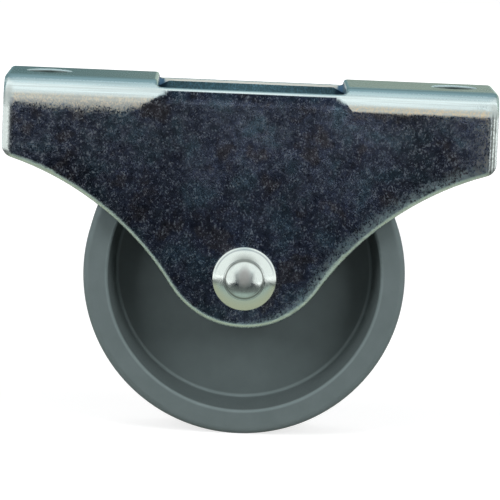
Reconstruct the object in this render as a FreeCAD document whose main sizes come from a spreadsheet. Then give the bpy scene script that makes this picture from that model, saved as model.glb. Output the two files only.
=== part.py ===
import FreeCAD, Part
import math
import os

import Sketcher

# Fixed caster: a folded sheet bracket, a moulded wheel, and a riveted axle with the sleeve it turns on.
# Millimetres. The origin is the middle of the screw holes on the top face of the plate.
# X runs along the plate and is the way the caster rolls, Y is the axle and Z is up.

SIZES = {
    # Sheet and plate
    "plate_length": 61.0,
    "bracket_width": 16.0,
    "sheet_thickness": 1.5,
    "bend_inside_radius": 1.25,
    "screw_hole_diameter": 5.5,
    "screw_hole_margin": 2.5,
    # Window over the wheel, cut through the plate and both bends
    "window_length": 23.2,
    "window_lip_drop": 0.95,
    "window_blend": 1.2,
    "lip_lean_radius": 7.0,
    # Outline of the walls
    "axle_drop": 24.0,
    "end_height": 8.7,
    "corner_radius": 1.6,
    "flare_radius": 37.0,
    "lobe_radius": 11.0,
    "lobe_reach": 6.35,
    # Rolled edge that blanking leaves on the outer side of the sheet
    "edge_roll": 0.7,
    "window_roll": 0.45,
    "hole_roll": 0.12,
    # Axle rivet
    "shank_diameter": 5.0,
    "shank_clearance": 0.05,
    "head_diameter": 7.85,
    "head_height": 2.25,
    "head_edge": 0.8,
    "head_shoulder": 1.75,
    "head_dome_radius": 4.5,
    "button_diameter": 4.65,
    "button_flat_diameter": 0.5,
    "button_groove_width": 0.5,
    "button_groove_depth": 0.08,
    # Axle sleeve
    "sleeve_wall": 0.9,
    # Wheel
    "wheel_diameter": 40.0,
    "rim_side_clearance": 0.7,
    "rim_thickness": 3.0,
    "recess_depth": 4.9,
    "recess_draft": 1.0,
    "hub_wall": 1.7,
    "hub_draft": 0.2,
    "hub_side_play": 0.25,
    "bore_clearance": 0.06,
    "tread_round": 0.8,
    "rim_round": 0.35,
    "recess_round": 0.4,
    "hub_round": 0.3,
}

SHEET = "Sizes"
TOLERANCE = 1e-4


class Term:
    """A length with its value in millimetres and the spreadsheet expression that gives it."""

    def __init__(self, value, text):
        self.value = value
        self.text = text

    @staticmethod
    def of(other):
        return other if isinstance(other, Term) else Term(other, repr(other))

    def joined(self, other, sign, value):
        return Term(value, f"({self.text} {sign} {Term.of(other).text})")

    def __add__(self, other):
        return self.joined(other, "+", self.value + Term.of(other).value)

    def __sub__(self, other):
        return self.joined(other, "-", self.value - Term.of(other).value)

    def __mul__(self, other):
        return self.joined(other, "*", self.value * Term.of(other).value)

    def __truediv__(self, other):
        return self.joined(other, "/", self.value / Term.of(other).value)

    def __neg__(self):
        return Term(-self.value, f"(-{self.text})")


ZERO = Term(0.0, "0")


def cosine(radians):
    return Term(math.cos(radians.value), f"cos({radians.text} * 1rad)")


def sine(radians):
    return Term(math.sin(radians.value), f"sin({radians.text} * 1rad)")


doc = FreeCAD.newDocument("fixed_caster")


def make_sheet():
    """Writes the sizes to a spreadsheet and returns a Term for each alias."""
    sheet = doc.addObject("Spreadsheet::Sheet", SHEET)
    for row, (alias, value) in enumerate(SIZES.items(), start=1):
        sheet.set(f"A{row}", alias)
        sheet.set(f"B{row}", str(value))
        sheet.setAlias(f"B{row}", alias)
    doc.recompute()
    return {alias: Term(value, f"{SHEET}.{alias}") for alias, value in SIZES.items()}


size = make_sheet()

# Places that several pieces share
half_length = size["plate_length"] / 2
half_width = size["bracket_width"] / 2
half_sheet = size["sheet_thickness"] / 2
inner_half_width = half_width - size["sheet_thickness"]
bend_radius = size["bend_inside_radius"] + size["sheet_thickness"]
bend_centre = half_width - bend_radius
bend_middle_radius = bend_radius - half_sheet
screw_hole_radius = size["screw_hole_diameter"] / 2
screw_place = half_length - size["screw_hole_margin"] - screw_hole_radius
half_window = size["window_length"] / 2
half_leaning_lip = half_window - size["window_blend"]
lip_height = bend_radius - size["window_lip_drop"]
shank_radius = size["shank_diameter"] / 2
axle_hole_radius = shank_radius + size["shank_clearance"]
sleeve_radius = axle_hole_radius + size["sleeve_wall"]
bore_radius = sleeve_radius + size["bore_clearance"]


def bind(target, prop, term):
    target.setExpression(prop, term.text)


def vector(u, v):
    return FreeCAD.Vector(u, v, 0)


def new_body(name):
    body = doc.addObject("PartDesign::Body", name)
    body.Label = name
    return body


def origin_feature(body, role):
    return next(f for f in body.Origin.OriginFeatures if f.Role == role)


def new_sketch(body, name, plane, offset=None):
    """A sketch on one of the body's origin planes, or parallel to it at an offset along its normal."""
    sketch = body.newObject("Sketcher::SketchObject", name)
    sketch.AttachmentSupport = (origin_feature(body, plane), [""])
    sketch.MapMode = "FlatFace"
    if offset is not None:
        bind(sketch, "AttachmentOffset.Base.z", offset)
    return sketch


def constrain(sketch, *arguments):
    return sketch.addConstraint(Sketcher.Constraint(*arguments))


def dimension(sketch, kind, *arguments, term):
    """A dimensional constraint that follows a spreadsheet expression."""
    index = constrain(sketch, kind, *arguments, term.value)
    bind(sketch, f"Constraints[{index}]", term)


def fix_point(sketch, edge, end, u, v):
    """Holds one end, or the centre, of an edge at a place measured from the sketch's origin."""
    for term, kind, axis in ((u, "DistanceX", -2), (v, "DistanceY", -1)):
        if term is ZERO:
            constrain(sketch, "PointOnObject", edge, end, axis)
        else:
            dimension(sketch, kind, -1, 1, edge, end, term=term)


def arc_between(start, end, centre):
    """The counter-clockwise arc from start to end about centre."""
    radius = start.distanceToPoint(centre)
    circle = Part.Circle(centre, FreeCAD.Vector(0, 0, 1), radius)
    first = math.atan2(start.y - centre.y, start.x - centre.x)
    last = math.atan2(end.y - centre.y, end.x - centre.x)
    return Part.ArcOfCircle(circle, first, last if last > first else last + 2 * math.pi)


class Curve:
    """How an edge of an outline bends: with a radius, or about a centre on the sketch's horizontal axis."""

    def __init__(self, turn, radius=None):
        self.turn = turn
        self.radius = radius

    def centre(self, start, end):
        if self.radius is None:
            along = (start.x**2 + start.y**2 - end.x**2 - end.y**2) / (2 * (start.x - end.x))
            return vector(along, 0)
        chord = end - start
        height = math.sqrt(self.radius.value**2 - chord.Length**2 / 4)
        left = vector(-chord.y, chord.x).normalize()
        return (start + end) * 0.5 + left * height * self.turn


LEFT = 1
RIGHT = -1


def draw_outline(sketch, corners, curves=None):
    """Draws a closed outline through corners, each a pair of Terms. curves bends the edge after a corner."""
    curves = curves or {}
    points = [vector(u.value, v.value) for u, v in corners]
    ends = []
    for index, start in enumerate(points):
        end = points[(index + 1) % len(points)]
        curve = curves.get(index)
        if curve is None:
            sketch.addGeometry(Part.LineSegment(start, end))
            ends.append((1, 2))
        elif curve.turn == LEFT:
            sketch.addGeometry(arc_between(start, end, curve.centre(start, end)))
            ends.append((1, 2))
        else:
            sketch.addGeometry(arc_between(end, start, curve.centre(start, end)))
            ends.append((2, 1))
    for index, corner in enumerate(corners):
        following = (index + 1) % len(corners)
        constrain(sketch, "Coincident", index, ends[index][1], following, ends[following][0])
        fix_point(sketch, index, ends[index][0], *corner)
    for index, curve in curves.items():
        if curve.radius is None:
            constrain(sketch, "PointOnObject", index, 3, -1)
        else:
            dimension(sketch, "Radius", index, term=curve.radius)


def draw_circle(sketch, u, v, radius):
    circle = Part.Circle(vector(u.value, v.value), FreeCAD.Vector(0, 0, 1), radius.value)
    edge = sketch.addGeometry(circle)
    fix_point(sketch, edge, 3, u, v)
    dimension(sketch, "Radius", edge, term=radius)


def add_pad(body, name, sketch, length):
    pad = body.newObject("PartDesign::Pad", name)
    pad.Profile = sketch
    pad.SideType = "Symmetric"
    bind(pad, "Length", length)
    doc.recompute()
    return pad


def add_pocket(body, name, sketch, side):
    """Cuts a sketch through the whole body, and stops if it cut nothing."""
    before = body.Shape.Volume
    pocket = body.newObject("PartDesign::Pocket", name)
    pocket.Profile = sketch
    pocket.Type = "ThroughAll"
    pocket.SideType = side
    doc.recompute()
    if not body.Shape.Volume < before - TOLERANCE:
        raise RuntimeError(f"{name} cut nothing")
    return pocket


def add_revolution(body, name, sketch):
    """Turns a sketch about its own horizontal axis."""
    turned = body.newObject("PartDesign::Revolution", name)
    turned.Profile = sketch
    turned.ReferenceAxis = (sketch, ["H_Axis"])
    doc.recompute()
    return turned


def add_fillet(body, name, radius, wanted):
    """Rounds every edge of the body for which wanted(edge) is true."""
    base = body.Tip
    names = [f"Edge{i}" for i, edge in enumerate(base.Shape.Edges, start=1) if wanted(edge)]
    if not names:
        raise RuntimeError(f"{name} found no edges")
    fillet = body.newObject("PartDesign::Fillet", name)
    fillet.Base = (base, names)
    bind(fillet, "Radius", radius)
    doc.recompute()
    return fillet


def close(value, target):
    return abs(value - target) < TOLERANCE


def points_on(edge):
    """The ends and two inner points of an edge."""
    first, last = edge.ParameterRange
    return [edge.valueAt(first + (last - first) * share) for share in (0, 0.3, 0.7, 1)]


def everywhere(edge, test):
    return all(test(point) for point in points_on(edge))


def is_circle(edge, radius):
    return hasattr(edge.Curve, "Radius") and close(edge.Curve.Radius, radius.value)


def place_on_axle(body):
    bind(body, "Placement.Base.z", -size["axle_drop"])


# Bracket


def draw_channel(sketch):
    """Section of the folded sheet across the plate: two legs, two bends and the top."""
    leg_end = -(size["axle_drop"] + size["lobe_reach"] + size["sheet_thickness"])
    corners = [
        (-half_width, leg_end),
        (-half_width, -bend_radius),
        (-bend_centre, ZERO),
        (bend_centre, ZERO),
        (half_width, -bend_radius),
        (half_width, leg_end),
        (inner_half_width, leg_end),
        (inner_half_width, -bend_radius),
        (bend_centre, -size["sheet_thickness"]),
        (-bend_centre, -size["sheet_thickness"]),
        (-inner_half_width, -bend_radius),
        (-inner_half_width, leg_end),
    ]
    outside = Curve(RIGHT, bend_radius)
    inside = Curve(LEFT, size["bend_inside_radius"])
    draw_outline(sketch, corners, {1: outside, 3: outside, 7: inside, 9: inside})


def flare_centre(lobe_centre, corner_centre):
    """Centre of the arc that touches the lobe and the lower corner from below, on the +X side."""
    to_lobe = size["flare_radius"].value + size["lobe_radius"].value
    to_corner = size["flare_radius"].value + size["corner_radius"].value
    span = corner_centre - lobe_centre
    along = (to_lobe**2 - to_corner**2 + span.Length**2) / (2 * span.Length)
    across = math.sqrt(to_lobe**2 - along**2)
    direction = span / span.Length
    return lobe_centre + direction * along + vector(direction.y, -direction.x) * across


def touch_point(centre, other, radius):
    return centre + (other - centre).normalize() * radius.value


def draw_below_walls(sketch):
    """What is trimmed off below the walls, which flare from a round lobe to the plate's ends."""
    lobe_z = size["lobe_radius"] - size["axle_drop"] - size["lobe_reach"]
    corner_x = half_length - size["corner_radius"]
    trim_z = -(size["axle_drop"] + size["lobe_reach"] + size["sheet_thickness"] * 2)
    lobe = vector(0, lobe_z.value)
    corner = vector(corner_x.value, -size["end_height"].value)
    flare = flare_centre(lobe, corner)
    flare_start = touch_point(lobe, flare, size["lobe_radius"])
    flare_end = touch_point(corner, flare, size["corner_radius"])
    end_top = vector(half_length.value, -size["end_height"].value)
    end_bottom = vector(half_length.value, trim_z.value)

    def mirrored(point):
        return vector(-point.x, point.y)

    sketch.addGeometry(
        [
            Part.LineSegment(mirrored(end_bottom), end_bottom),
            Part.LineSegment(end_bottom, end_top),
            arc_between(flare_end, end_top, corner),
            arc_between(flare_end, flare_start, flare),
            arc_between(mirrored(flare_start), flare_start, lobe),
            arc_between(mirrored(flare_start), mirrored(flare_end), mirrored(flare)),
            arc_between(mirrored(end_top), mirrored(flare_end), mirrored(corner)),
            Part.LineSegment(mirrored(end_top), mirrored(end_bottom)),
        ]
    )
    bottom, right_end, right_corner, right_flare, lobe_arc, left_flare, left_corner, left_end = range(8)
    constrain(sketch, "Coincident", bottom, 2, right_end, 1)
    constrain(sketch, "Coincident", bottom, 1, left_end, 2)
    constrain(sketch, "Vertical", right_end)
    constrain(sketch, "Vertical", left_end)
    constrain(sketch, "Tangent", right_end, 2, right_corner, 2)
    constrain(sketch, "Tangent", left_end, 1, left_corner, 1)
    constrain(sketch, "Tangent", right_corner, 1, right_flare, 1)
    constrain(sketch, "Tangent", left_corner, 2, left_flare, 2)
    constrain(sketch, "Tangent", right_flare, 2, lobe_arc, 2)
    constrain(sketch, "Tangent", left_flare, 1, lobe_arc, 1)
    fix_point(sketch, bottom, 1, -half_length, trim_z)
    fix_point(sketch, bottom, 2, half_length, trim_z)
    fix_point(sketch, lobe_arc, 3, ZERO, lobe_z)
    dimension(sketch, "Radius", lobe_arc, term=size["lobe_radius"])
    for side_corner, side_flare, side_x in (
        (right_corner, right_flare, corner_x),
        (left_corner, left_flare, -corner_x),
    ):
        fix_point(sketch, side_corner, 3, side_x, -size["end_height"])
        dimension(sketch, "Radius", side_flare, term=size["flare_radius"])


def draw_window(sketch):
    above = size["sheet_thickness"]
    draw_outline(
        sketch,
        [
            (-half_window, -bend_radius),
            (half_window, -bend_radius),
            (half_window, above),
            (-half_window, above),
        ],
    )


OUTER = 1
INNER = -1


def lip_top(middle_radius, skin):
    """Where a lip bent to a radius at the sheet's middle stops on one skin, as across and up."""
    radius = middle_radius + half_sheet * skin
    turn = lip_height / middle_radius
    centre = half_width - half_sheet - middle_radius
    return centre + radius * cosine(turn), radius * sine(turn) - bend_radius


def add_window_lip(body, name, side):
    """The wall's free edge in the window: leaning in at its middle, curling into the bend at its ends."""

    def on_side(across, up):
        return (across if side > 0 else -across, up)

    foot = [on_side(inner_half_width, -bend_radius), on_side(half_width, -bend_radius)]
    sketches = []
    for index, (offset, middle_radius) in enumerate(
        (
            (-half_window, bend_middle_radius),
            (-half_leaning_lip, size["lip_lean_radius"]),
            (half_leaning_lip, size["lip_lean_radius"]),
            (half_window, bend_middle_radius),
        ),
        start=1,
    ):
        sketch = new_sketch(body, f"{name}_section_{index}", "YZ_Plane", offset)
        tops = [on_side(*lip_top(middle_radius, skin)) for skin in (OUTER, INNER)]
        outside = Curve(LEFT * side, middle_radius + half_sheet)
        inside = Curve(RIGHT * side, middle_radius - half_sheet)
        draw_outline(sketch, foot + tops, {1: outside, 3: inside})
        sketches.append(sketch)
    loft = body.newObject("PartDesign::AdditiveLoft", name)
    loft.Profile = sketches[0]
    loft.Sections = sketches[1:]
    loft.Ruled = True
    doc.recompute()


def on_wall_face(point):
    return close(abs(point.y), half_width.value)


def on_outer_side(point):
    """True on the outer skin of the folded sheet: the plate's top, the bends and the walls."""
    past_bend = abs(point.y) - bend_centre.value
    if past_bend <= TOLERANCE:
        return close(point.z, 0)
    if point.z <= TOLERANCE - bend_radius.value:
        return on_wall_face(point)
    return close(math.hypot(past_bend, point.z + bend_radius.value), bend_radius.value)


def on_blank_edge(edge):
    """True for the outer edges of the sheet: round the walls and across both ends of the plate."""

    def on_plate_end(point):
        return close(abs(point.x), half_length.value)

    def below_plate(point):
        return point.z < TOLERANCE - size["end_height"].value

    round_axle = is_circle(edge, axle_hole_radius)
    along_wall = everywhere(edge, on_wall_face) and everywhere(edge, below_plate) and not round_axle
    return along_wall or (everywhere(edge, on_plate_end) and everywhere(edge, on_outer_side))


def on_window_edge(edge):
    """True for the outer edges round the window: along both lips, and across the plate's ends there."""

    def at_lip_corner(point, along, middle_radius):
        across, up = lip_top(middle_radius, OUTER)
        on_top = close(abs(point.y), across.value) and close(point.z, up.value)
        return on_top and close(abs(point.x), along.value)

    def on_lip_corner(point):
        curled = at_lip_corner(point, half_window, bend_middle_radius)
        return curled or at_lip_corner(point, half_leaning_lip, size["lip_lean_radius"])

    def on_plate_window_end(point):
        above_lip = point.z > lip_top(bend_middle_radius, OUTER)[1].value - TOLERANCE
        return above_lip and close(abs(point.x), half_window.value) and on_outer_side(point)

    along_lip = on_lip_corner(points_on(edge)[0]) and on_lip_corner(points_on(edge)[-1])
    return along_lip or everywhere(edge, on_plate_window_end)


def on_screw_hole_edge(edge):
    return is_circle(edge, screw_hole_radius) and everywhere(edge, lambda point: close(point.z, 0))


def make_bracket():
    body = new_body("bracket")
    channel = new_sketch(body, "channel_section", "YZ_Plane")
    draw_channel(channel)
    add_pad(body, "channel", channel, size["plate_length"])
    below_walls = new_sketch(body, "wall_outline", "XZ_Plane")
    draw_below_walls(below_walls)
    add_pocket(body, "wall_trim", below_walls, "Symmetric")
    window = new_sketch(body, "window_outline", "XZ_Plane")
    draw_window(window)
    add_pocket(body, "window", window, "Symmetric")
    for name, side in (("window_lip_front", -1), ("window_lip_back", 1)):
        add_window_lip(body, name, side)
    screw_holes = new_sketch(body, "screw_hole_circles", "XY_Plane")
    for side_x in (-screw_place, screw_place):
        draw_circle(screw_holes, side_x, ZERO, screw_hole_radius)
    add_pocket(body, "screw_holes", screw_holes, "One side")
    axle_hole = new_sketch(body, "axle_hole_circle", "XZ_Plane")
    draw_circle(axle_hole, ZERO, -size["axle_drop"], axle_hole_radius)
    add_pocket(body, "axle_holes", axle_hole, "Symmetric")
    add_fillet(body, "rolled_edges", size["edge_roll"], on_blank_edge)
    add_fillet(body, "rolled_window", size["window_roll"], on_window_edge)
    add_fillet(body, "rolled_screw_holes", size["hole_roll"], on_screw_hole_edge)
    return body


# Axle


def make_axle_rivet():
    """Solid rivet: a plain domed head at the back, and at the front the head closed with a raised button."""
    body = new_body("axle_rivet")
    head_radius = size["head_diameter"] / 2
    button_radius = size["button_diameter"] / 2
    flat_radius = size["button_flat_diameter"] / 2
    half_groove = size["button_groove_width"] / 2
    shoulder = half_width + size["head_shoulder"]
    tip = half_width + size["head_height"]
    corners = [
        (-tip, ZERO),
        (-tip, flat_radius),
        (-shoulder, button_radius - half_groove),
        (-shoulder + size["button_groove_depth"], button_radius),
        (-shoulder, button_radius + half_groove),
        (-half_width - size["head_edge"], head_radius),
        (-half_width, head_radius),
        (-half_width, shank_radius),
        (half_width, shank_radius),
        (half_width, head_radius),
        (half_width + size["head_edge"], head_radius),
        (tip, ZERO),
    ]
    button = Curve(RIGHT)
    shoulder_dome = Curve(RIGHT, size["head_dome_radius"])
    back_dome = Curve(RIGHT)
    section = new_sketch(body, "rivet_section", "YZ_Plane")
    draw_outline(section, corners, {1: button, 4: shoulder_dome, 10: back_dome})
    add_revolution(body, "rivet", section)
    place_on_axle(body)
    return body


def make_axle_sleeve():
    """Spacer tube that the closed rivet clamps between the walls, so that the wheel stays free."""
    body = new_body("axle_sleeve")
    rings = new_sketch(body, "sleeve_section", "XZ_Plane")
    draw_circle(rings, ZERO, ZERO, sleeve_radius)
    draw_circle(rings, ZERO, ZERO, axle_hole_radius)
    add_pad(body, "sleeve", rings, inner_half_width * 2)
    place_on_axle(body)
    return body


# Wheel


def make_wheel():
    """One moulding: a rim with a dished recess on each side, a web and a hub that runs on the sleeve."""
    body = new_body("wheel")
    tread_radius = size["wheel_diameter"] / 2
    rim_inside = tread_radius - size["rim_thickness"]
    recess_outer = rim_inside - size["recess_draft"]
    hub_radius = bore_radius + size["hub_wall"]
    recess_inner = hub_radius + size["hub_draft"]
    half_rim = inner_half_width - size["rim_side_clearance"]
    half_web = half_rim - size["recess_depth"]
    half_hub = inner_half_width - size["hub_side_play"]
    right_half = [
        (half_hub, bore_radius),
        (half_hub, hub_radius),
        (half_web, recess_inner),
        (half_web, recess_outer),
        (half_rim, rim_inside),
        (half_rim, tread_radius),
    ]
    left_half = [(-along, out) for along, out in reversed(right_half)]
    section = new_sketch(body, "wheel_section", "YZ_Plane")
    draw_outline(section, right_half + left_half)
    add_revolution(body, "moulding", section)

    def on_ring(along, radius):
        def wanted(edge):
            at_place = everywhere(edge, lambda point: close(abs(point.y), along.value))
            return at_place and is_circle(edge, radius)

        return wanted

    for name, radius, along, out in (
        ("tread_edges", size["tread_round"], half_rim, tread_radius),
        ("rim_edges", size["rim_round"], half_rim, rim_inside),
        ("recess_corners", size["recess_round"], half_web, recess_outer),
        ("hub_corners", size["recess_round"], half_web, recess_inner),
        ("hub_edges", size["hub_round"], half_hub, hub_radius),
    ):
        add_fillet(body, name, radius, on_ring(along, out))
    place_on_axle(body)
    return body


def check_document():
    for item in doc.Objects:
        if "Invalid" in item.State or "Error" in item.State:
            raise RuntimeError(f"{item.Label} failed: {item.State}")
        if item.isDerivedFrom("Sketcher::SketchObject") and not item.FullyConstrained:
            raise RuntimeError(f"{item.Label} has free geometry")


def check_piece(piece):
    shape = piece.Shape
    if shape.isNull() or not shape.isValid() or len(shape.Solids) != 1:
        raise RuntimeError(f"{piece.Label} is not one valid solid")


pieces = [make_bracket(), make_axle_rivet(), make_axle_sleeve(), make_wheel()]
doc.recompute()
check_document()
for piece in pieces:
    check_piece(piece)
os.makedirs("parts", exist_ok=True)
for piece in pieces:
    piece.Shape.exportStep(f"parts/{piece.Label}.step")
    print(piece.Label, round(piece.Shape.Volume, 2))
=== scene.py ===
import math
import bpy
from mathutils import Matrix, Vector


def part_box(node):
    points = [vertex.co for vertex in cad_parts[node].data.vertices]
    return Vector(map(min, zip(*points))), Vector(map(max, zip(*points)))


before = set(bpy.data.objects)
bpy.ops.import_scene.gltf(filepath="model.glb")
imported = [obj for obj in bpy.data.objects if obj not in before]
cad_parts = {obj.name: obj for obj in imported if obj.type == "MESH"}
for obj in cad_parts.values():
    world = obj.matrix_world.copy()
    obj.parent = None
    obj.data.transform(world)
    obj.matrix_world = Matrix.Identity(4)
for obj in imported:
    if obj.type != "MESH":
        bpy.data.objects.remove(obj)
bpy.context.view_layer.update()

from types import SimpleNamespace

import bmesh
import bpy
from mathutils import Euler, Matrix, Vector

# Fixed caster: finishes, floor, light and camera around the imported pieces, in the frame's own axes.
# The floor, light and camera are in metres, and the finishes in millimetres.

MM = 0.001

# Places that the finishes follow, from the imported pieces

wheel_low, wheel_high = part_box("wheel")
AXLE_HEIGHT = (wheel_low.z + wheel_high.z) / 2
FLOOR_HEIGHT = wheel_low.z


class Graph:
    """A node tree with short calls for adding and joining nodes."""

    def __init__(self, tree):
        self.tree = tree
        tree.nodes.clear()

    def feed(self, socket, value):
        """Links a socket to another node's output, or sets it to a plain value."""
        if isinstance(value, bpy.types.NodeSocket):
            self.tree.links.new(value, socket)
        else:
            socket.default_value = value

    def add(self, kind, inputs=None, **settings):
        node = self.tree.nodes.new(kind)
        for name, value in settings.items():
            setattr(node, name, value)
        for key, value in (inputs or {}).items():
            self.feed(node.inputs[key], value)
        return node

    def math(self, operation, first, second=0.0):
        return self.add("ShaderNodeMath", {0: first, 1: second}, operation=operation).outputs[0]

    def chain(self, operation, values):
        """One value from several, taken in turn."""
        result, *others = values
        for other in others:
            result = self.math(operation, result, other)
        return result

    def times(self, *values):
        return self.chain("MULTIPLY", values)

    def plus(self, *values):
        return self.chain("ADD", values)

    def largest(self, *values):
        return self.chain("MAXIMUM", values)

    def minus(self, first, second):
        return self.math("SUBTRACT", first, second)

    def over(self, first, second):
        return self.math("DIVIDE", first, second)

    def size(self, value):
        """A value without its sign."""
        return self.math("ABSOLUTE", value)

    def off(self, value, middle):
        """How far a value is from a middle, either way."""
        return self.size(self.minus(value, middle))

    def share(self, value):
        """A value held between 0 and 1."""
        return self.math("MINIMUM", self.largest(value, 0.0), 1.0)

    def distance(self, first, second):
        """Length of a step that goes first along one axis and second along another."""
        return self.math("SQRT", self.plus(self.times(first, first), self.times(second, second)))

    def span(self, value, low, high, start=0.0, end=1.0):
        """Runs smoothly from start to end as value goes from low to high."""
        inputs = {"Value": value, "From Min": low, "From Max": high, "To Min": start, "To Max": end}
        return self.add("ShaderNodeMapRange", inputs, interpolation_type="SMOOTHSTEP").outputs["Result"]

    def vector(self, operation, first, second=(0.0, 0.0, 0.0)):
        return self.add("ShaderNodeVectorMath", {0: first, 1: second}, operation=operation).outputs["Vector"]

    def stretch(self, vector, factors):
        return self.vector("MULTIPLY", vector, factors)

    def scale(self, vector, factor):
        inputs = {0: vector, "Scale": factor}
        return self.add("ShaderNodeVectorMath", inputs, operation="SCALE").outputs["Vector"]

    def split(self, vector):
        return self.add("ShaderNodeSeparateXYZ", {0: vector}).outputs

    def join(self, x, y, z):
        return self.add("ShaderNodeCombineXYZ", {"X": x, "Y": y, "Z": z}).outputs["Vector"]

    def place(self):
        """Where a point is on the piece, in millimetres."""
        source = self.add("ShaderNodeTexCoord").outputs["Object"]
        return self.scale(source, 1 / MM)

    def normal(self):
        """Which way the piece's surface faces, in the piece's own axes."""
        return self.add("ShaderNodeTexCoord").outputs["Normal"]

    def turned(self, direction):
        """A new direction for the surface, from the piece's axes to the scene's."""
        node = self.add(
            "ShaderNodeVectorTransform",
            {"Vector": self.vector("NORMALIZE", direction)},
            vector_type="NORMAL",
            convert_from="OBJECT",
            convert_to="WORLD",
        )
        return node.outputs["Vector"]

    def noise(self, vector, scale, detail, roughness):
        inputs = {"Vector": vector, "Scale": scale, "Detail": detail, "Roughness": roughness}
        return self.add("ShaderNodeTexNoise", inputs).outputs["Fac"]

    def ramp(self, value, stops):
        """Colours from a list of places from 0 to 1, each with its colour."""
        node = self.add("ShaderNodeValToRGB", {"Fac": value})
        elements = node.color_ramp.elements
        while len(elements) < len(stops):
            elements.new(1.0)
        for element, (position, colour) in zip(elements, stops):
            element.position = position
            element.color = (*colour, 1.0)
        return node.outputs["Color"]

    def mix(self, factor, first, second):
        """A colour between two others. Each is an output or three plain values."""
        node = self.add("ShaderNodeMix", data_type="RGBA")
        for name, value in (("Factor_Float", factor), ("A_Color", first), ("B_Color", second)):
            socket = next(s for s in node.inputs if s.identifier == name)
            plain_colour = isinstance(value, tuple)
            self.feed(socket, (*value, 1.0) if plain_colour else value)
        return next(s for s in node.outputs if s.identifier == "Result_Color")

    def bump(self, height, strength, depth, normal=None):
        """Raises the surface by depth millimetres where height is 1."""
        inputs = {"Height": height, "Strength": strength, "Distance": depth * MM}
        if normal is not None:
            inputs["Normal"] = normal
        return self.add("ShaderNodeBump", inputs).outputs["Normal"]

    def seen(self):
        """1 for what the camera sees, also in metal or through glass, and 0 for light on the object."""
        light_path = self.add("ShaderNodeLightPath").outputs
        return self.largest(
            light_path["Is Camera Ray"],
            light_path["Is Glossy Ray"],
            light_path["Is Transmission Ray"],
        )

    def surface(self, **inputs):
        """A principled surface. Its inputs are named with underscores for spaces."""
        named = {name.replace("_", " "): value for name, value in inputs.items()}
        shader = self.add("ShaderNodeBsdfPrincipled", named)
        self.add("ShaderNodeOutputMaterial", {"Surface": shader.outputs["BSDF"]})


def new_material(name):
    material = bpy.data.materials.new(name)
    material.use_nodes = True
    return material, Graph(material.node_tree)


def dress(node, material):
    """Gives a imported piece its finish."""
    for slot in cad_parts[node].material_slots:
        slot.material = material


# In a finish, a pair of values is where a share starts and is full, and two more are the amounts there.
# A noise has its features per millimetre, detail and roughness, and lies mostly between these two.

NOISE_LOW = 0.3
NOISE_HIGH = 0.7

# Zinc-plated sheet: its shape

BEND_END = 2.75
WINDOW_END = 11.6
PLATE_END = 30.5
HOLE_PLACE = 25.25
HOLE_RADIUS = 2.75
LOBE_HEIGHT = -19.35
LOBE_RADIUS = 11.0
LOBE_TOP = -25.3
FLARE_PLACE = 40.18
FLARE_HEIGHT = -45.62
FLARE_RADIUS = 37.0

# Zinc-plated sheet: its surfaces, by where they lie and which way they face

WALL_SIDE = (7.4, 7.9)
WALL_TURN = (0.990, 0.955)
PLATE_SIDE = (7.4, 6.9)
PLATE_TURN = (0.9995, 0.985)
BELOW_PLATE = (-0.3, -0.9)
LEVEL_TURN = (0.97, 0.999)
LEVEL_HEIGHT = (-0.3, -0.1)
LIP_LEAN = (0.92, 0.80)
LIP_INWARD = (0.1, -0.1)
LIP_EDGE_TURN = (0.80, 0.92)
LIP_EDGE_HEIGHT = (-1.5, -1.3)


def sheet_places(graph):
    """Where a point lies on the bracket, and its share in each of the bracket's surfaces."""
    at = SimpleNamespace()
    at.place = graph.place()
    at.x, y, at.z = graph.split(at.place)
    at.along = graph.size(at.x)
    at.across = graph.size(y)
    at.normal = graph.normal()
    facing_x, facing_y, facing_z = graph.split(graph.vector("ABSOLUTE", at.normal))
    outward = graph.times(graph.split(at.normal)["Y"], graph.math("SIGN", y))
    off_walls = graph.span(graph.largest(facing_x, facing_y), *WALL_TURN)
    at.formed = graph.times(off_walls, graph.span(facing_z, *PLATE_TURN))
    at.on_wall = graph.span(at.across, *WALL_SIDE)
    at.under_plate = graph.times(graph.span(at.across, *PLATE_SIDE), graph.span(at.z, *BELOW_PLATE))
    at.inside = graph.times(
        at.under_plate,
        graph.span(facing_z, *LIP_LEAN),
        graph.span(outward, *LIP_INWARD),
    )
    at.lip_edge = graph.times(
        at.under_plate,
        graph.span(facing_z, *LIP_EDGE_TURN),
        graph.span(at.z, *LIP_EDGE_HEIGHT),
    )
    at.level = graph.times(graph.span(facing_z, *LEVEL_TURN), graph.span(at.z, *LEVEL_HEIGHT))
    return at


# Zinc-plated sheet: crystals

CRYSTALS_PER_MM = 6.5
CRYSTAL_SHAPE = (1.2, 1.2, 0.8)
GRAIN = (3.6, 4.0, 0.7)
BLOTCHES = (1.0, 3.0, 0.7)
CLOUDS = (0.16, 2.0, 0.5)
PATCHES = (0.30, 3.0, 0.55)
ZINC_BROWN = (0.22, 0.215, 0.24)
ZINC_NAVY = (0.165, 0.205, 0.305)
ZINC_SLATE = (0.235, 0.28, 0.365)
ZINC_TEAL = (0.205, 0.31, 0.385)
ZINC_BRIGHT = (0.74, 0.79, 0.84)
PATCH_TINTS = [(0.36, ZINC_BROWN), (0.45, ZINC_NAVY), (0.53, ZINC_SLATE), (0.64, ZINC_TEAL)]
CLOUD_SHADE = (0.32, 0.66, 0.75, 1.3)
BLOTCH_SHADE = (NOISE_LOW, NOISE_HIGH, 0.55, 1.5)
MIDDLE_LEFT = (-14.0, 0.0)
MIDDLE_RIGHT = (22.0, 12.0)
MIDDLE_SHADE = (0.0, 1.0, 1.0, 1.35)
ARM_SHADE = (12.0, 21.0, 1.0, 0.80)
TIP_SHADE = (23.0, 29.0, 1.0, 1.6)
GRAIN_SHARE = 1.2
RISE_LEVEL = 1.1
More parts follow.
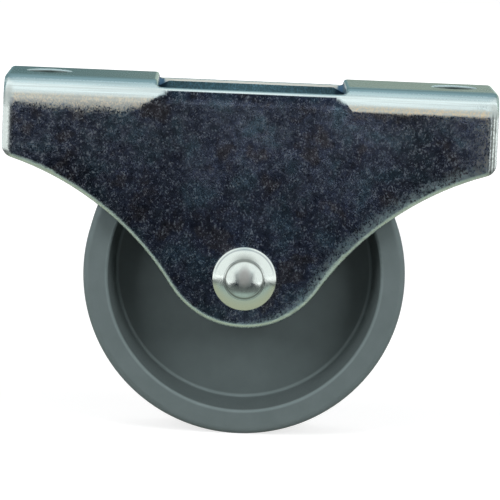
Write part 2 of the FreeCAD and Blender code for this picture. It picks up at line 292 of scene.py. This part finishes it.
RISE_GAIN = (12.0, 22.0, 1.0, 2.1)
BRIGHT_SPECKS = (0.60, 1.35)


def add_crystals(graph, at):
    """Crystals, each with its own brightness, and tints that drift over patches of them."""
    crystal = graph.add(
        "ShaderNodeTexVoronoi",
        {"Vector": graph.stretch(at.place, CRYSTAL_SHAPE), "Scale": CRYSTALS_PER_MM},
    )
    lots = graph.add("ShaderNodeSeparateColor", {0: crystal.outputs["Color"]}).outputs
    at.lot = lots["Green"]
    at.grain = graph.noise(at.place, *GRAIN)
    blotches = graph.noise(at.place, *BLOTCHES)
    middle = graph.times(graph.span(at.x, *MIDDLE_LEFT), graph.span(at.x, *MIDDLE_RIGHT))
    shade = graph.times(
        graph.span(graph.noise(at.place, *CLOUDS), *CLOUD_SHADE),
        graph.span(blotches, *BLOTCH_SHADE),
        graph.span(middle, *MIDDLE_SHADE),
        graph.span(at.along, *ARM_SHADE),
        graph.span(at.along, *TIP_SHADE),
    )
    clouded = graph.scale(graph.ramp(graph.noise(at.place, *PATCHES), PATCH_TINTS), shade)
    rise = graph.minus(graph.plus(graph.times(at.grain, GRAIN_SHARE), blotches), RISE_LEVEL)
    at.speck = graph.plus(lots["Red"], graph.times(rise, graph.span(at.along, *RISE_GAIN)))
    at.bright = graph.span(at.speck, *BRIGHT_SPECKS)
    at.crystal_colour = graph.mix(at.bright, clouded, ZINC_BRIGHT)


# Zinc-plated sheet: lower edge of the walls

EDGE_WIDTH = (-5.0, 12.0, 0.9, 2.6)
EDGE_FADE = (1.0, 0.2)
EDGE_SPECKS = (0.1, 0.9, 0.3, 1.0)
LOBE_FADE = (LOBE_TOP + 1.0, LOBE_TOP - 0.5)


def add_lower_edge(graph, at):
    """Lighter crystals along the lower edge of the walls."""
    flare = graph.distance(graph.minus(at.along, FLARE_PLACE), graph.minus(at.z, FLARE_HEIGHT))
    lobe = graph.distance(at.along, graph.minus(at.z, LOBE_HEIGHT))
    width = graph.span(at.x, *EDGE_WIDTH)
    near_flare = graph.span(graph.over(graph.minus(flare, FLARE_RADIUS), width), *EDGE_FADE)
    near_lobe = graph.span(graph.over(graph.minus(LOBE_RADIUS, lobe), width), *EDGE_FADE)
    near_lobe = graph.times(near_lobe, graph.span(at.z, *LOBE_FADE))
    edge = graph.largest(near_flare, near_lobe)
    at.drawn_down = graph.times(edge, at.on_wall, graph.span(at.speck, *EDGE_SPECKS))


# Zinc-plated sheet: band under the bends, where the wall leans in, with a painted reflection

BAND_REACH = (-10.0, 10.0, 1.3, 0.38)
LENS_LEFT = (-29.0, -17.0)
LENS_RIGHT = (-11.5, -17.0)
LENS_REACH = 0.7
WAVER_STRETCH = (0.3, 0.0, 0.0)
WAVER = (1.0, 0.0, 0.5)
WAVER_REACH = (NOISE_LOW, NOISE_HIGH, 0.85, 1.15)
WINDOW_REACH = (WINDOW_END, WINDOW_END + 5.0, 0.5, 1.0)
PAST_WINDOW = (WINDOW_END - 0.3, WINDOW_END + 0.1)
CURL_START = WINDOW_END - 0.3
CURL_END = (-5.0, 5.0, WINDOW_END + 2.4, WINDOW_END + 1.0)
CURL_RISE = 1.2
BRUISE_START = 1.2
BRUISE_SLOPE = 0.45
BAND_TOP = (-0.9, -0.3)
BAND_FADE = (0.0, 0.75)
BAND_EDGE = (0.0, 0.12)
LOT_MIDDLE = 0.5
LOT_SCATTER = 0.9
THROWN_LOTS = (0.66, 0.90)
THROWN_REACH = (1.5, 0.1, 0.0, 0.6)


def add_bend_marks(graph, at):
    """A band under each bend, where the wall leans in and its beige and cream colour is a painted reflection,
    which rises into the window's curls, and specks thrown below it.
    """
    at.depth = graph.minus(-BEND_END, at.z)
    lens = graph.times(graph.span(at.x, *LENS_LEFT), graph.span(at.x, *LENS_RIGHT), LENS_REACH)
    waver = graph.noise(graph.stretch(at.place, WAVER_STRETCH), *WAVER)
    reach = graph.times(
        graph.plus(lens, graph.span(at.x, *BAND_REACH)),
        graph.span(waver, *WAVER_REACH),
        graph.span(at.along, *WINDOW_REACH),
    )
    held_up = graph.span(at.along, CURL_START, graph.span(at.x, *CURL_END), CURL_RISE, 0.0)
    below = graph.plus(at.depth, held_up)
    at.left_share = graph.share(graph.over(graph.minus(reach, below), reach))
    at.beside_window = graph.times(graph.span(at.along, *PAST_WINDOW), at.on_wall)
    above = graph.share(graph.over(at.depth, -BRUISE_START))
    at.lifted = graph.times(graph.minus(1.0, above), at.left_share, at.beside_window, BRUISE_SLOPE)
    scatter = graph.times(graph.minus(at.lot, LOT_MIDDLE), LOT_SCATTER)
    band = graph.times(
        graph.span(graph.plus(at.left_share, scatter), *BAND_FADE),
        graph.span(at.left_share, *BAND_EDGE),
    )
    thrown = graph.times(graph.span(at.lot, *THROWN_LOTS), graph.span(below, *THROWN_REACH))
    marked = graph.largest(band, thrown)
    at.bruised = graph.times(marked, at.beside_window, graph.span(at.depth, *BAND_TOP))


# Zinc-plated sheet: ends of the walls

END_ROUND = (PLATE_END - 1.6, PLATE_END - 0.5, 0.0, 0.32)
END_ROUND_SIDE = (6.0, 7.2)
END_WIPED = (PLATE_END - 1.5, PLATE_END - 0.7)
END_DRAWN = (PLATE_END - 2.6, PLATE_END - 0.5)
END_DRAWN_DEPTH = (-0.6, 0.4)
END_RUBBED = (PLATE_END - 4.4, PLATE_END - 1.4)
RUBBED_SPECKS = (0.3, 1.0)
LINES_PER_MM = 2.6
DRIFT_STRETCH = (1.4, 0.0, 0.10)
DRIFT = (1.0, 2.0, 0.6)


def add_end_marks(graph, at):
    """Rounded ends, lighter as a painted highlight, and at the right end drawn lines and rubbed crystals."""
    rounded = graph.times(graph.span(at.along, *END_ROUND), graph.span(at.across, *END_ROUND_SIDE))
    at.sideways = graph.times(rounded, graph.math("SIGN", at.x))
    at.wiped = graph.times(graph.span(at.along, *END_WIPED), at.on_wall)
    drift = graph.noise(graph.stretch(at.place, DRIFT_STRETCH), *DRIFT)
    turns = graph.plus(graph.times(at.x, LINES_PER_MM), drift)
    at.lines = graph.span(graph.math("SINE", graph.times(turns, math.tau)), -1.0, 1.0)
    at.drawn = graph.times(
        graph.span(at.x, *END_DRAWN),
        graph.span(at.depth, *END_DRAWN_DEPTH),
        at.on_wall,
    )
    at.rubbed = graph.times(
        graph.span(at.x, *END_RUBBED),
        graph.span(at.speck, *RUBBED_SPECKS),
        at.on_wall,
    )


# Zinc-plated sheet: screw holes

HOLE_WALL = (HOLE_RADIUS + 0.12, HOLE_RADIUS + 0.04)
HOLE_LIP = (-0.28, -0.14)


def add_hole_marks(graph, at):
    """Sheared walls of the screw holes, dull and darkened with painted shade, below a lip with a painted
    highlight.
    """
    from_hole = graph.distance(graph.minus(at.along, HOLE_PLACE), at.across)
    at.sheared = graph.span(from_hole, *HOLE_WALL)
    at.hole_lip = graph.times(at.sheared, graph.span(at.z, *HOLE_LIP))


# Zinc-plated sheet: colour

ZINC_RIM = (0.60, 0.76, 0.78)
ZINC_DUSK = (0.46, 0.45, 0.42)
ZINC_LEVEL = (0.34, 0.43, 0.38)
ZINC_FORMED = (0.73, 0.84, 0.84)
ZINC_WIPED = (0.56, 0.62, 0.60)
ZINC_INSIDE = (0.42, 0.71, 0.83)
ZINC_CORNER = (0.11, 0.20, 0.30)
ZINC_EDGE = (0.80, 0.80, 0.73)
ZINC_GREY = (0.60, 0.61, 0.56)
ZINC_BEIGE = (0.84, 0.76, 0.61)
ZINC_CREAM = (0.86, 0.71, 0.49)
ZINC_SHEARED = (0.26, 0.33, 0.32)
LEVEL_SHARE = 0.75
BENT_DEPTH = (0.15, -0.1)
BENT_SHARE = (0.0, 0.5)
DIE_STRETCH = (0.05, 2.6, 2.6)
DIE_LINES = (1.0, 3.0, 0.6)
DIE_SHADE = (0.35, 0.65, 0.90, 1.13)
LINE_SHADE = (0.1, 0.9, -0.62, 0.12)
INSIDE_SHADE = (0.1, 1.2, 0.72, 1.2)
CURL_CORNER = (WINDOW_END - 1.4, WINDOW_END - 0.7)
BRUISE_SHARE = 0.9
BRUISE_SPECKS = (0.2, 1.0)
CREAM_SIDE = (0.0, 14.0)


def zinc_colour(graph, at):
    """The crystals' colour, with each mark laid over it in turn; several of the marks are painted light and
    shade.
    """
    bent = graph.times(
        graph.span(at.depth, *BENT_DEPTH),
        graph.span(at.left_share, *BENT_SHARE),
        at.beside_window,
    )
    die_lines = graph.noise(graph.stretch(at.place, DIE_STRETCH), *DIE_LINES)
    streaks = graph.times(graph.span(at.lines, *LINE_SHADE), at.drawn)
    curl_corner = graph.times(at.inside, graph.span(at.along, *CURL_CORNER))
    bruise_share = graph.times(at.bruised, graph.minus(BRUISE_SHARE, at.wiped))
    cream = graph.mix(graph.span(at.x, *CREAM_SIDE), ZINC_BEIGE, ZINC_CREAM)
    layers = (
        (at.drawn_down, ZINC_RIM),
        (at.rubbed, ZINC_DUSK),
        # Painted reflection: a greenish tint on the plate's upward top face.
        (graph.times(at.level, LEVEL_SHARE), ZINC_LEVEL),
        # Smooth formed metal on the bends, coloured bright as a painted highlight.
        (graph.largest(at.formed, bent), graph.scale(ZINC_FORMED, graph.span(die_lines, *DIE_SHADE))),
        # Painted highlight at the wall ends, with painted light and dark streaks along the drawn lines.
        (at.wiped, graph.scale(ZINC_WIPED, graph.plus(streaks, 1.0))),
        # Painted reflection: bright teal on the walls' inner faces.
        (at.inside, graph.scale(ZINC_INSIDE, graph.span(at.speck, *INSIDE_SHADE))),
        # Painted shade in the inner corners beside the window's curls.
        (curl_corner, ZINC_CORNER),
        # Matt bare edge of the lips, coloured light as a painted highlight.
        (at.lip_edge, ZINC_EDGE),
        # Painted reflection: beige and cream band, with specks, under the bends.
        (graph.largest(bruise_share, 0.0), graph.mix(graph.span(at.speck, *BRUISE_SPECKS), ZINC_GREY, cream)),
        # Dull sheared walls of the screw holes, darkened with painted shade.
        (at.sheared, ZINC_SHEARED),
        # Painted highlight on the screw holes' lips.
        (at.hole_lip, ZINC_RIM),
    )
    colour = at.crystal_colour
    for share, finish in layers:
        colour = graph.mix(share, colour, finish)
    return colour


# Zinc-plated sheet: roughness and relief

ZINC_SMOOTH = (NOISE_LOW, NOISE_HIGH, 0.16, 0.26)
INSIDE_DULL = 0.30
BRUISE_DULL = 0.28
CRYSTAL_DULL = 0.12
EDGE_DULL = 0.30
EDGE_METALLIC = 0.3
LINE_STRENGTH = 1.0
LINE_DEPTH = 0.01
GRAIN_STRENGTH = 0.3
GRAIN_DEPTH = 0.02


def zinc_roughness(graph, at):
    """Smooth plating, duller inside, in the bands under the bends, on bright crystals, along the lower edge
    and on the rubbed right end.
    """
    crystalline = graph.times(at.bright, graph.minus(1.0, at.formed))
    dull = graph.largest(
        graph.times(graph.largest(at.under_plate, at.sheared), INSIDE_DULL),
        graph.times(at.bruised, BRUISE_DULL),
        graph.times(crystalline, CRYSTAL_DULL),
        graph.times(graph.largest(at.drawn_down, at.rubbed), EDGE_DULL),
    )
    return graph.plus(graph.span(at.grain, *ZINC_SMOOTH), dull)


def zinc_relief(graph, at):
    """Direction of the surface, turned by the band and the rounded ends, with drawn lines and grain."""
    turned = graph.turned(graph.vector("ADD", at.normal, graph.join(at.sideways, 0.0, at.lifted)))
    lined = graph.bump(graph.times(at.lines, at.drawn), LINE_STRENGTH, LINE_DEPTH, turned)
    return graph.bump(at.grain, GRAIN_STRENGTH, GRAIN_DEPTH, lined)


def make_zinc():
    """Blue-passivated zinc: dark crystals with bright specks, and smooth metal where it was formed, which is
    coloured bright as a painted highlight.
    """
    material, graph = new_material("zinc_sheet_finish")
    at = sheet_places(graph)
    add_crystals(graph, at)
    add_lower_edge(graph, at)
    add_bend_marks(graph, at)
    add_end_marks(graph, at)
    add_hole_marks(graph, at)
    graph.surface(
        Base_Color=zinc_colour(graph, at),
        Metallic=graph.span(graph.largest(at.lip_edge, at.hole_lip), 0.0, 1.0, 1.0, EDGE_METALLIC),
        Roughness=zinc_roughness(graph, at),
        Normal=zinc_relief(graph, at),
    )
    return material


# Rivet

RIVET_BRIGHT = (0.78, 0.85, 0.81)
# The groove colour is painted shade, in the groove and above it.
RIVET_GROOVE = (0.34, 0.37, 0.34)
# The edge colour is painted shade along the head's upper edge.
RIVET_EDGE = (0.36, 0.41, 0.43)
RIVET_STRUCK = (0.60, 0.58, 0.56)
RIVET_MARKS = (2.5, 4.0, 0.6)
RIVET_SMOOTH = (NOISE_LOW, NOISE_HIGH, 0.16, 0.26)
RIVET_DULL = 0.40
MARK_STRENGTH = 0.25
MARK_DEPTH = 0.02
BUTTON_SIDE = (0.0, -1.0)
BUTTON_LEAN = 0.12
GROOVE_RADIUS = 2.325
GROOVE_LINE = 0.14
GROOVE_LINE_WIDTH = (0.4, 1.0, GROOVE_LINE, 1.6 * GROOVE_LINE)
GROOVE_SIDES = (0.30, 0.20)
GROOVE_FALL = 0.42
GROOVE_FILLED = 0.9
GROOVE_DULL = 0.5
BUTTON_EDGE = (GROOVE_RADIUS, GROOVE_RADIUS - 0.3)
SMEAR_OUTSIDE = (GROOVE_RADIUS + 1.15, GROOVE_RADIUS + GROOVE_LINE)
SMEAR_INSIDE = (GROOVE_RADIUS - GROOVE_LINE, GROOVE_RADIUS)
SMEAR_SIDES = (2.2, 0.3)
SMEAR_HEIGHT = (0.5, 1.5, 0.0, 0.8)
STRUCK_FADE = (1.9, 0.6)
STRUCK_RISE = 0.3
STRUCK_NARROW = 1.7
STRUCK_SHARE = 0.75
EDGE_LINE_RADIUS = 3.66
EDGE_LINE_FADE = (0.14, 0.02)
EDGE_LINE_HEIGHT = (0.2, 2.0)
EDGE_LINE_SHARE = 0.7


def rivet_places(graph):
    """Where a point lies on the rivet, round its axis."""
    at = SimpleNamespace()
    at.place = graph.place()
    at.x, at.y, z = graph.split(at.place)
    at.height = graph.minus(z, AXLE_HEIGHT / MM)
    at.radius = graph.distance(at.x, at.height)
    at.from_groove = graph.off(at.radius, GROOVE_RADIUS)
    at.button_side = graph.span(at.y, *BUTTON_SIDE)
    return at


def rivet_groove(graph, at):
    """Painted shade: a dull dark line in the groove round the button, wider above and below, and a broader
    painted shade over it above.
    """
    upright = graph.over(graph.size(at.height), GROOVE_RADIUS)
    line = graph.span(graph.over(at.from_groove, graph.span(upright, *GROOVE_LINE_WIDTH)), 1.0, 0.0)
    smear = graph.times(
        graph.span(at.radius, *SMEAR_OUTSIDE),
        graph.span(at.radius, *SMEAR_INSIDE),
        graph.span(graph.size(at.x), *SMEAR_SIDES),
        graph.span(at.height, *SMEAR_HEIGHT),
    )
    return graph.times(graph.largest(line, smear), at.button_side)


def rivet_relief(graph, at):
    """Direction of the surface: plating fills the groove to a soft fall, and the button leans up."""
    normal = graph.normal()
    outward = graph.join(graph.over(at.x, at.radius), 0.0, graph.over(at.height, at.radius))
    ahead = graph.join(0.0, graph.math("SIGN", at.y), 0.0)
    fall = graph.vector("ADD", ahead, graph.scale(outward, GROOVE_FALL))
    in_groove = graph.times(graph.span(at.from_groove, *GROOVE_SIDES), at.button_side, GROOVE_FILLED)
    filled = graph.scale(graph.vector("SUBTRACT", fall, normal), in_groove)
    on_button = graph.times(graph.span(at.radius, *BUTTON_EDGE), at.button_side)
    lean = graph.join(0.0, 0.0, graph.times(on_button, BUTTON_LEAN))
    return graph.turned(graph.vector("ADD", normal, graph.vector("ADD", filled, lean)))


def make_rivet():
    """Bright plated steel, greyer and duller in the button's middle, with painted shade in the groove round
    its button, above it and along the head's upper edge.
    """
    material, graph = new_material("rivet_steel_finish")
    at = rivet_places(graph)
    # Painted shade in and above the groove round the button.
    groove = rivet_groove(graph, at)
    # A greyer, duller patch in the button's middle, reaching a little upward.
    from_middle = graph.distance(graph.times(at.x, STRUCK_NARROW), graph.minus(at.height, STRUCK_RISE))
    struck = graph.times(graph.span(from_middle, *STRUCK_FADE), at.button_side)
    # Painted shade: a dark line along the upper half of the head's edge.
    edge_line = graph.times(
        graph.span(graph.off(at.radius, EDGE_LINE_RADIUS), *EDGE_LINE_FADE),
        graph.span(at.height, *EDGE_LINE_HEIGHT),
    )
    colour = graph.mix(graph.times(struck, STRUCK_SHARE), RIVET_BRIGHT, RIVET_STRUCK)
    colour = graph.mix(graph.times(edge_line, EDGE_LINE_SHARE), colour, RIVET_EDGE)
    dull = graph.times(graph.largest(graph.times(groove, GROOVE_DULL), struck), RIVET_DULL)
    marks = graph.noise(at.place, *RIVET_MARKS)
    graph.surface(
        Base_Color=graph.mix(groove, colour, RIVET_GROOVE),
        Metallic=1.0,
        Roughness=graph.plus(graph.span(marks, *RIVET_SMOOTH), dull),
        Normal=graph.bump(marks, MARK_STRENGTH, MARK_DEPTH, rivet_relief(graph, at)),
    )
    return material


# Sleeve

SLEEVE_STRETCH = (6.0, 0.3, 6.0)
SLEEVE_LINES = (1.0, 2.0, 0.5)
SLEEVE_DARK = (0.42, 0.43, 0.44)
SLEEVE_LIGHT = (0.58, 0.59, 0.60)
SLEEVE_ROUGHNESS = 0.35
SLEEVE_STRENGTH = 0.3
SLEEVE_DEPTH = 0.02


def make_sleeve():
    """Plain drawn tube, with fine lines along it."""
    material, graph = new_material("sleeve_steel_finish")
    lines = graph.noise(graph.stretch(graph.place(), SLEEVE_STRETCH), *SLEEVE_LINES)
    graph.surface(
        Base_Color=graph.ramp(lines, [(NOISE_LOW, SLEEVE_DARK), (NOISE_HIGH, SLEEVE_LIGHT)]),
        Metallic=1.0,
        Roughness=SLEEVE_ROUGHNESS,
        Normal=graph.bump(lines, SLEEVE_STRENGTH, SLEEVE_DEPTH),
    )
    return material


# Wheel

WHEEL_DARK = (0.136, 0.172, 0.174)
WHEEL_LIGHT = (0.154, 0.193, 0.196)
WHEEL_MOTTLE = (0.35, 4.0, 0.6)
WHEEL_TEXTURE = (7.0, 2.0, 0.5)
WHEEL_ROUGHNESS = (NOISE_LOW, NOISE_HIGH, 0.45, 0.58)
WHEEL_SPECULAR = 0.2
TEXTURE_STRENGTH = 0.15
TEXTURE_DEPTH = 0.02
WEB_FACE = 0.95
RIM_FACE = 5.7
RIM_INSIDE = 17.0
RECESS_RADIUS = (RIM_INSIDE + 0.2, RIM_INSIDE - 0.1)
RECESS_FACE = (RIM_FACE, RIM_FACE - 0.5)
# Painted shade in the recess: its colour is kept at 0.80 on the web and 0.66 up its wall.
RECESS_SHADE = (WEB_FACE + 0.2, WEB_FACE + 0.6, 0.80, 0.66)
# Painted highlights: lighter lines at the recess's corner and lip, and on the tread's rounded edge.
CORNER_RADIUS = 15.87
CORNER_LINE = (0.26, 0.08, 0.0, 0.38)
CORNER_FACE = (WEB_FACE + 0.7, WEB_FACE + 0.3)
LIP_RADIUS = 17.12
LIP_LINE = (0.28, 0.08, 0.0, 0.24)
LIP_FACE = (RIM_FACE - 0.4, RIM_FACE - 0.1)
SCUFF_RADIUS = (19.2, 19.7, 0.0, 0.18)
SCUFF_FACE = (RIM_FACE - 0.8, RIM_FACE - 0.4)


def wheel_wear(graph, radius, across):
    """Painted highlights: lighter lines at the recess's corner and lip, and on the tread's rounded edge."""
    corner = graph.span(graph.off(radius, CORNER_RADIUS), *CORNER_LINE)
    lip = graph.span(graph.off(radius, LIP_RADIUS), *LIP_LINE)
    scuff = graph.span(radius, *SCUFF_RADIUS)
    return graph.plus(
        graph.times(corner, graph.span(across, *CORNER_FACE)),
        graph.times(lip, graph.span(across, *LIP_FACE)),
        graph.times(scuff, graph.span(across, *SCUFF_FACE)),
    )


def make_wheel():
    """Matt grey moulding with a faint mottle and a fine moulded texture, with painted shade in the recess and
    painted highlights along its edges.
    """
    material, graph = new_material("wheel_grey_finish")
    place = graph.place()
    x, y, z = graph.split(place)
    across = graph.size(y)
    radius = graph.distance(x, graph.minus(z, AXLE_HEIGHT / MM))
    in_recess = graph.times(graph.span(radius, *RECESS_RADIUS), graph.span(across, *RECESS_FACE))
    # Painted shade: the recess is darkened.
    darker = graph.times(in_recess, graph.minus(1.0, graph.span(across, *RECESS_SHADE)))
    # Painted highlights along the recess's edges and the tread's rounded edge.
    lighter = wheel_wear(graph, radius, across)
    shade = graph.times(graph.minus(1.0, darker), graph.plus(lighter, 1.0))
    mottle = graph.noise(place, *WHEEL_MOTTLE)
    colour = graph.ramp(mottle, [(NOISE_LOW, WHEEL_DARK), (NOISE_HIGH, WHEEL_LIGHT)])
    texture = graph.noise(place, *WHEEL_TEXTURE)
    graph.surface(
        Base_Color=graph.scale(colour, shade),
        Roughness=graph.span(texture, *WHEEL_ROUGHNESS),
        Specular_IOR_Level=WHEEL_SPECULAR,
        Normal=graph.bump(texture, TEXTURE_STRENGTH, TEXTURE_DEPTH),
    )
    return material


dress("bracket", make_zinc())
dress("axle_rivet", make_rivet())
dress("axle_sleeve", make_sleeve())
dress("wheel", make_wheel())

# Floor and flags

FLOOR_SIDE = 6.0
FLOOR_COLOUR = (0.42, 0.42, 0.42)
FLOOR_GLOW_COLOUR = (1.0, 1.0, 1.0)
FLOOR_GLOW = (0.12 / MM, 0.45 / MM, 0.76, 0.95)
FLAG_LIFT = 0.0002
FLAG_DARK = (0.008, 0.011, 0.020)
FLAG_NEAR = (0.14, 0.155, 0.15)
CARD_NEAR = (0.43, 0.45, 0.33)
CARD_FAR = (0.37, 0.46, 0.43)
CARD_START = 0.008
CARD_END = 0.034
CARD_HALF_LENGTH = 0.06
SIDE_END = 0.115
FLAG_END = 0.9
FLAG_SLOPE = 0.55


def stage_mesh(name, material, fill):
    """A stage object from a function that draws into a bmesh."""
    mesh = bpy.data.meshes.new(name)
    drawing = bmesh.new()
    fill(drawing)
    drawing.to_mesh(mesh)
    drawing.free()
    mesh.materials.append(material)
    obj = bpy.data.objects.new(name, mesh)
    bpy.context.scene.collection.objects.link(obj)
    return obj


def one_sided(graph, shader):
    """Finishes a stage material so that it can be looked through from below."""
    below = graph.add("ShaderNodeBsdfTransparent")
    backfacing = graph.add("ShaderNodeNewGeometry").outputs["Backfacing"]
    sided = graph.add("ShaderNodeMixShader", {0: backfacing, 1: shader, 2: below.outputs[0]})
    graph.add("ShaderNodeOutputMaterial", {"Surface": sided.outputs[0]})


def make_floor():
    """Pale floor that keeps the shadow."""
    material, graph = new_material("floor_pale")
    spot = graph.split(graph.place())
    strength = graph.span(graph.distance(spot["X"], spot["Y"]), *FLOOR_GLOW)
    diffuse = graph.add("ShaderNodeBsdfDiffuse", {"Color": (*FLOOR_COLOUR, 1.0)})
    glow = graph.add(
        "ShaderNodeEmission",
        {"Color": (*FLOOR_GLOW_COLOUR, 1.0), "Strength": graph.times(graph.seen(), strength)},
    )
    above = graph.add("ShaderNodeAddShader", {0: diffuse.outputs[0], 1: glow.outputs[0]})
    one_sided(graph, above.outputs[0])

    def fill(drawing):
        bmesh.ops.create_grid(drawing, x_segments=1, y_segments=1, size=FLOOR_SIDE / 2)

    floor = stage_mesh("floor", material, fill)
    floor.location.z = FLOOR_HEIGHT


def add_flag(name, near, far, start, end, outlines):
    """A studio card on the floor, as bright as its colours, which the object sees and the camera doesn't."""
    material, graph = new_material(name)
    away = graph.size(graph.split(graph.place())["Y"])
    colour = graph.mix(graph.span(away, start / MM, end / MM), near, far)
    glow = graph.add("ShaderNodeEmission", {"Color": colour, "Strength": 1.0})
    one_sided(graph, glow.outputs[0])

    def fill(drawing):
        for outline in outlines:
            drawing.faces.new([drawing.verts.new((x, y, 0)) for x, y in outline])

    flag = stage_mesh(name, material, fill)
    flag.location.z = FLOOR_HEIGHT + FLAG_LIFT
    flag.visible_camera = False
    flag.visible_diffuse = False
    flag.visible_transmission = False
    flag.visible_shadow = False


def opposite(outline):
    """An outline turned half round."""
    return [(-x, -y) for x, y in outline]


def make_flags():
    """Dark cards round the object, and a grey-green card right under it."""
    near = CARD_HALF_LENGTH
    far = CARD_HALF_LENGTH + (FLAG_END - CARD_END) * FLAG_SLOPE
    front = [(-far, -FLAG_END), (far, -FLAG_END), (near, -CARD_END), (-near, -CARD_END)]
    right = [(near, -CARD_END), (SIDE_END, -SIDE_END), (SIDE_END, SIDE_END), (near, CARD_END)]
    card = [(-near, -CARD_END), (near, -CARD_END), (near, CARD_END), (-near, CARD_END)]
    around = [front, opposite(front), right, opposite(right)]
    add_flag("flag_dark", FLAG_NEAR, FLAG_DARK, CARD_END, SIDE_END, around)
    add_flag("card_green", CARD_NEAR, CARD_FAR, CARD_START, CARD_END, [card])


make_floor()
make_flags()

# Light

AREA_LIGHT_WATTS = 4.0


def add_softbox(name, place, width, height, brightness):
    """A soft rectangular lamp aimed at the axle. Metal shows the surroundings in its place."""
    light = bpy.data.lights.new(name, "AREA")
    light.shape = "RECTANGLE"
    light.size = width
    light.size_y = height
    light.energy = brightness * width * height * AREA_LIGHT_WATTS
    lamp = bpy.data.objects.new(name, light)
    lamp.location = place
    aim = Vector((0, 0, AXLE_HEIGHT)) - lamp.location
    lamp.rotation_euler = aim.to_track_quat("-Z", "Y").to_euler()
    lamp.visible_glossy = False
    bpy.context.scene.collection.objects.link(lamp)


add_softbox("left_softbox", place=(-0.55, -0.46, 0.34), width=0.4, height=0.4, brightness=5.4)
add_softbox("right_softbox", place=(0.55, -0.46, 0.34), width=0.4, height=0.4, brightness=5.4)
add_softbox("top_softbox", place=(0.0, -0.30, 0.62), width=1.0, height=0.4, brightness=0.7)
add_softbox("back_softbox", place=(0.0, 0.60, 0.40), width=1.2, height=0.6, brightness=1.0)

# Surroundings, by direction

WORLD_FILL = 0.08
WHITE = (0.98, 1.0, 1.0)
DARK_FRONT = (0.044, 0.054, 0.072)
PALE_FRONT = (0.70, 0.77, 0.80)
PALE_ABOVE = (0.60, 0.72, 0.76)
BLUE_ABOVE = (0.28, 0.40, 0.45)
TEAL_BEHIND = (0.19, 0.28, 0.30)
DIM_BEHIND = (0.165, 0.27, 0.285)
GREEN_BEHIND = (0.44, 0.53, 0.46)
FRONT_COLOURS = [
    (0.40, DARK_FRONT),
    (0.48, PALE_FRONT),
    (0.62, WHITE),
    (0.92, WHITE),
    (1.0, PALE_ABOVE),
]
BACK_COLOURS = [(0.6, TEAL_BEHIND), (0.9, BLUE_ABOVE), (1.0, PALE_ABOVE)]
BACK_LEFT_TO_RIGHT = (-0.06, 0.06)
BACK_LOW_TO_HIGH = (0.2, 0.55)
FRONT_TO_BACK = (-0.14, 0.04)
TO_THE_SIDES = (0.35, 0.57)
SIDES_REACH = 0.45


def make_world():
    """Soft studio surroundings: white above and to the sides, dark straight ahead, coloured greys behind."""
    world = bpy.data.worlds.new("studio")
    world.use_nodes = True
    bpy.context.scene.world = world
    graph = Graph(world.node_tree)
    x, y, z = graph.split(graph.add("ShaderNodeTexCoord").outputs["Generated"])
    aside = graph.span(graph.size(x), *TO_THE_SIDES)
    front = graph.mix(aside, graph.ramp(z, FRONT_COLOURS), WHITE)
    low = graph.mix(graph.span(x, *BACK_LEFT_TO_RIGHT), DIM_BEHIND, GREEN_BEHIND)
    back = graph.mix(graph.span(z, *BACK_LOW_TO_HIGH), low, graph.ramp(z, BACK_COLOURS))
    behind = graph.minus(y, graph.times(aside, SIDES_REACH))
    colour = graph.mix(graph.span(behind, *FRONT_TO_BACK), front, back)
    strength = graph.span(graph.seen(), 0.0, 1.0, WORLD_FILL, 1.0)
    background = graph.add("ShaderNodeBackground", {"Color": colour, "Strength": strength})
    graph.add("ShaderNodeOutputWorld", {"Surface": background.outputs[0]})


make_world()

# Camera

CAMERA_PLACE = Vector((-4.55, -450.0, 37.4)) * MM
CAMERA_PITCH = math.radians(-7.46)
CAMERA_ROLL = math.radians(-2.43)
CAMERA_YAW = math.radians(-0.663)
CAMERA_LENS = 260.2
SENSOR_WIDTH = 36.0
CLIP_START = 0.01
CLIP_END = 20.0


def make_camera():
    """The photograph's view: a long lens in front, a little above the plate and rolled slightly."""
    data = bpy.data.cameras.new("camera")
    data.lens = CAMERA_LENS
    data.sensor_width = SENSOR_WIDTH
    data.clip_start = CLIP_START
    data.clip_end = CLIP_END
    camera = bpy.data.objects.new("camera", data)
    level = Euler((math.pi / 2 + CAMERA_PITCH, 0, CAMERA_YAW)).to_matrix().to_4x4()
    camera.matrix_world = Matrix.Translation(CAMERA_PLACE) @ level @ Matrix.Rotation(-CAMERA_ROLL, 4, "Z")
    bpy.context.scene.collection.objects.link(camera)
    bpy.context.scene.camera = camera


make_camera()
bpy.context.scene.view_settings.view_transform = "Standard"
